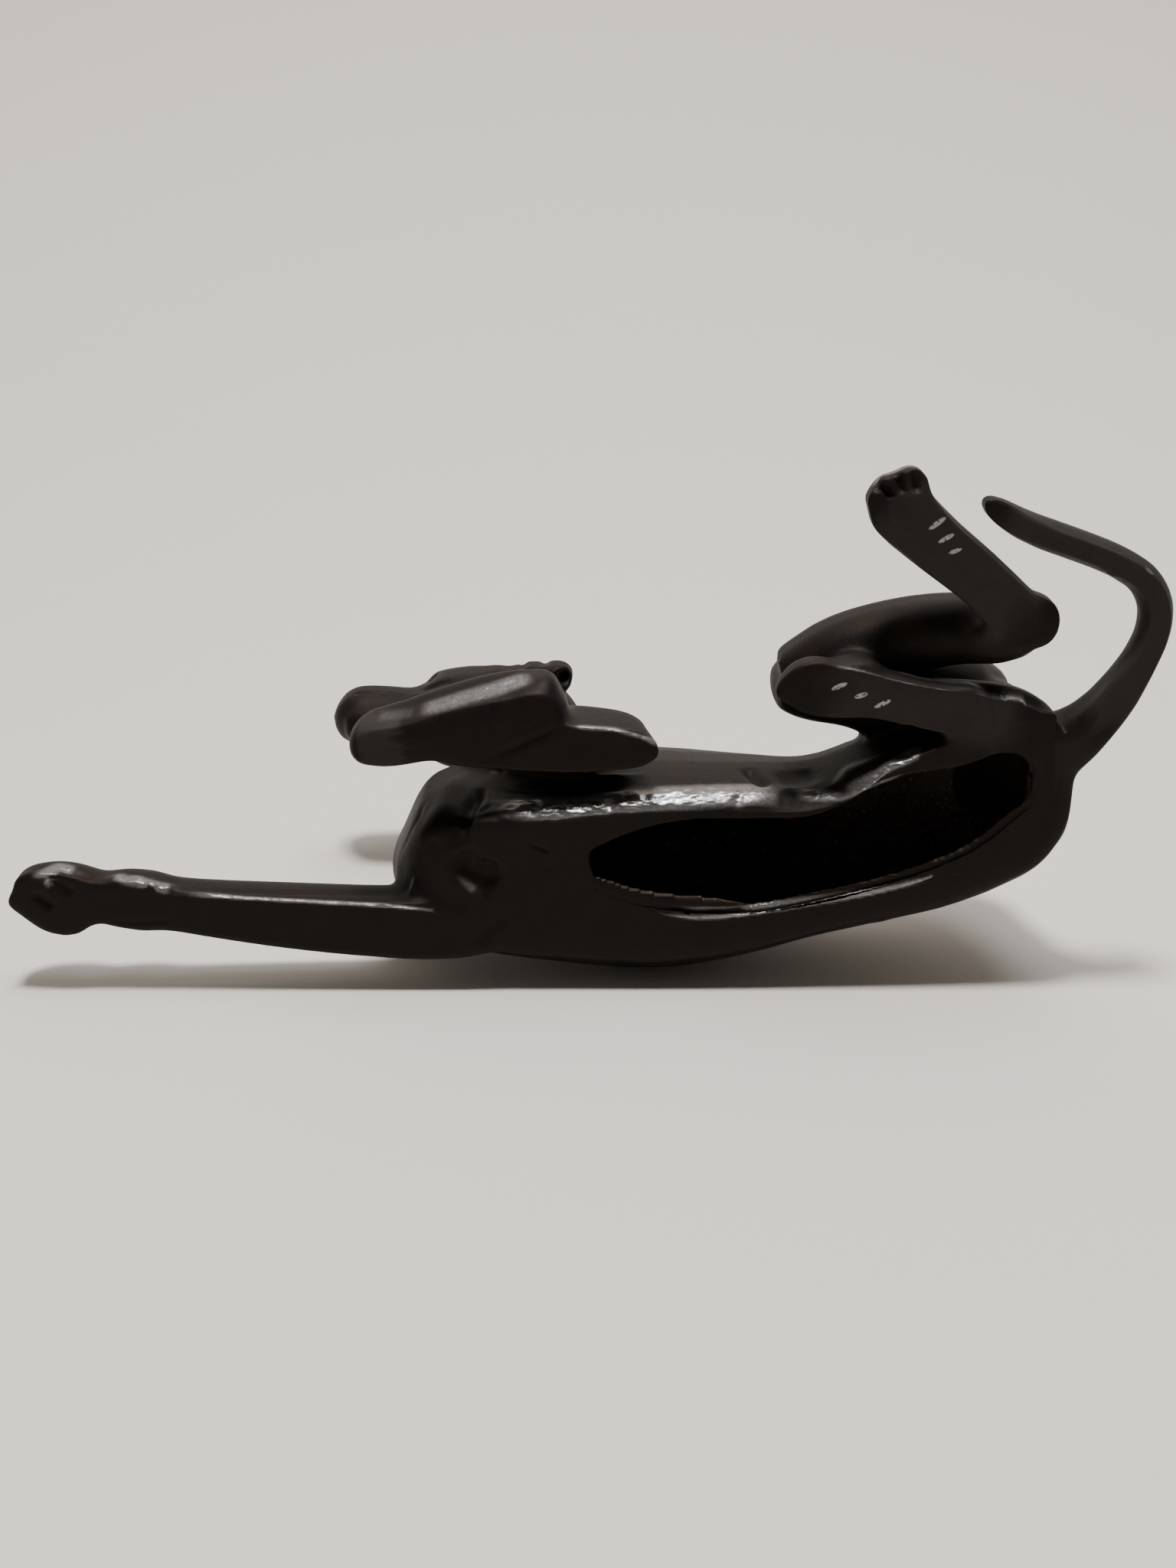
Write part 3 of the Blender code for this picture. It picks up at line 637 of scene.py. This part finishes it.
def paint_dabs(spot):
    """1 on the dabs of paint, 0 elsewhere."""
    total = None
    for x, y, length, width, turn in DABS:
        local = spot.node("ShaderNodeMapping", {"vector_type": "TEXTURE"},
                          {"Vector": spot, "Location": at(x, y, 0),
                           "Rotation": (0, 0, math.radians(turn)),
                           "Scale": (length * U, width * U, DAB_REACH)})
        reach = local.node("ShaderNodeVectorMath", {"operation": "LENGTH"}, {0: local}, output=1)
        dab = 1 - reach.step(0.75, 1.0)
        total = dab if total is None else total.node("ShaderNodeMath", {"operation": "MAXIMUM"},
                                                     {0: total, 1: dab})
    return total * grain(spot, 1500, 2).step(0.34, 0.5)


def japanned_iron():
    """Black varnish, browned and dusty in places, bare on the edges as rubbed wear and painted highlights,
    rusty inside.
    """
    material, shader, spot = new_material("black_japanned_iron")
    fine = grain(spot, 1300, 4)
    mottle = grain(spot, 150, 6, 0.65)
    rubbed_and_highlights = kept(spot, "rubbed_and_highlights")
    hollow = kept(spot, "hollow")
    dusty = kept(spot, "dusty").step(0.1, 0.8) * (0.55 + mottle * 0.8)
    wrinkles = grain(spot.node("ShaderNodeMapping", {}, {"Vector": spot, "Rotation": (0, 0, 0.6),
                                                         "Scale": (300, 800, 500)}), 1, 1, 0.5)
    grit = grain(spot, 700, 2, 0.7)
    worn_and_sheen = rubbed_and_highlights * (0.5 + fine)
    paint = mix(dusty, mix(mottle.step(0.35, 0.65), BLACK, BROWN), DUST)
    skin = mix(paint_dabs(spot), mix(hollow, paint, RUST), SILVER)
    # bare iron: rubbed wear and painted highlights on the edges, and glinting grains in the hollow
    bare_and_sheen = worn_and_sheen.step(0.0, 1.3) + hollow * grit.step(0.55, 0.75) * 0.4
    colour = mix(bare_and_sheen, skin, BARE_IRON_AND_SHEEN)
    spot.tree.links.new(colour.socket, shader.inputs["Base Color"])
    gloss = 0.42 + mottle * 0.12 + fine * 0.10 - bare_and_sheen * 0.29
    spot.tree.links.new(gloss.socket, shader.inputs["Roughness"])
    spot.tree.links.new(bare_and_sheen.socket, shader.inputs["Metallic"])
    shader.inputs["Specular IOR Level"].default_value = 0.11
    shader.inputs["Specular Tint"].default_value = (1.0, 0.88, 0.78, 1)
    relief = fine * 0.3 + mottle * 0.4 + wrinkles * rubbed_and_highlights * 4 + grit * hollow * 2.5
    bump = spot.node("ShaderNodeBump", {}, {"Height": relief, "Strength": 0.5,
                                            "Distance": RELIEF_DEPTH})
    spot.tree.links.new(bump.socket, shader.inputs["Normal"])
    return material


# Floor, light and camera

def pale_floor():
    """One pale sheet under the dog's right side, bent up behind it; only its upper side shows."""
    bpy.ops.object.select_all(action="DESELECT")
    bpy.ops.mesh.primitive_grid_add(x_subdivisions=2, y_subdivisions=160, size=2)
    floor = bpy.context.object
    floor.name = "floor"
    for vertex in floor.data.vertices:
        run = FLOOR_FRONT + (vertex.co.y + 1) / 2 * FLOOR_RUN
        turn = min(max((run - BEND_START) / BEND_RADIUS, 0), math.pi / 2)
        rise = BEND_RADIUS * (1 - math.cos(turn))
        reach = min(run, BEND_START) + BEND_RADIUS * math.sin(turn)
        beyond = max(run - BEND_START - BEND_RADIUS * math.pi / 2, 0)
        vertex.co = (vertex.co.x * FLOOR_HALF_WIDTH, TABLE - rise - beyond, reach)
    only(floor)
    bpy.ops.object.shade_smooth()
    material, shader, spot = new_material("pale_floor")
    shader.inputs["Base Color"].default_value = (0.62, 0.59, 0.55, 1)
    shader.inputs["Roughness"].default_value = 0.8
    shader.inputs["Specular IOR Level"].default_value = 0.2
    tree = material.node_tree
    clear = tree.nodes.new("ShaderNodeBsdfTransparent")
    side = tree.nodes.new("ShaderNodeNewGeometry")
    blend = tree.nodes.new("ShaderNodeMixShader")
    tree.links.new(side.outputs["Backfacing"], blend.inputs[0])
    tree.links.new(shader.outputs[0], blend.inputs[1])
    tree.links.new(clear.outputs[0], blend.inputs[2])
    tree.links.new(blend.outputs[0], tree.nodes["Material Output"].inputs["Surface"])
    floor.data.materials.append(material)


def lamp(name, place, aim, size, power, colour):
    data = bpy.data.lights.new(name, "AREA")
    data.shape = "DISK"
    data.size = size
    data.energy = power
    data.color = colour
    light = bpy.data.objects.new(name, data)
    light.location = place
    light.rotation_euler = (Vector(aim) - Vector(place)).to_track_quat("-Z", "Y").to_euler()
    bpy.context.scene.collection.objects.link(light)


def lights():
    world = bpy.data.worlds.new("studio")
    bpy.context.scene.world = world
    world.use_nodes = True
    world.node_tree.nodes["Background"].inputs["Color"].default_value = (1.0, 0.90, 0.80, 1)
    world.node_tree.nodes["Background"].inputs["Strength"].default_value = 0.13
    lamp("overhead", (-0.05, -1.25, -0.12), (0, 0, 0), 0.22, 24, (1.0, 0.97, 0.95))
    lamp("over_the_wall", (0.25, -1.20, 0.10), (0, 0, 0.1), 0.6, 8, (0.96, 0.97, 1.0))


def camera():
    """The camera faces the hollow underside from above the dog's left, which lies uppermost."""
    data = bpy.data.cameras.new("camera")
    data.sensor_width = SENSOR
    data.lens = LENS
    eye = bpy.data.objects.new("camera", data)
    eye.matrix_world = Matrix.Translation(at(*EYE)) @ Matrix(camera_axes()).transposed().to_4x4()
    bpy.context.scene.collection.objects.link(eye)
    bpy.context.scene.camera = eye


camera()
dog = hound()
dog.data.materials.clear()
dog.data.materials.append(japanned_iron())
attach(dog, "root")
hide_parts("dog_casting")
pale_floor()
lights()
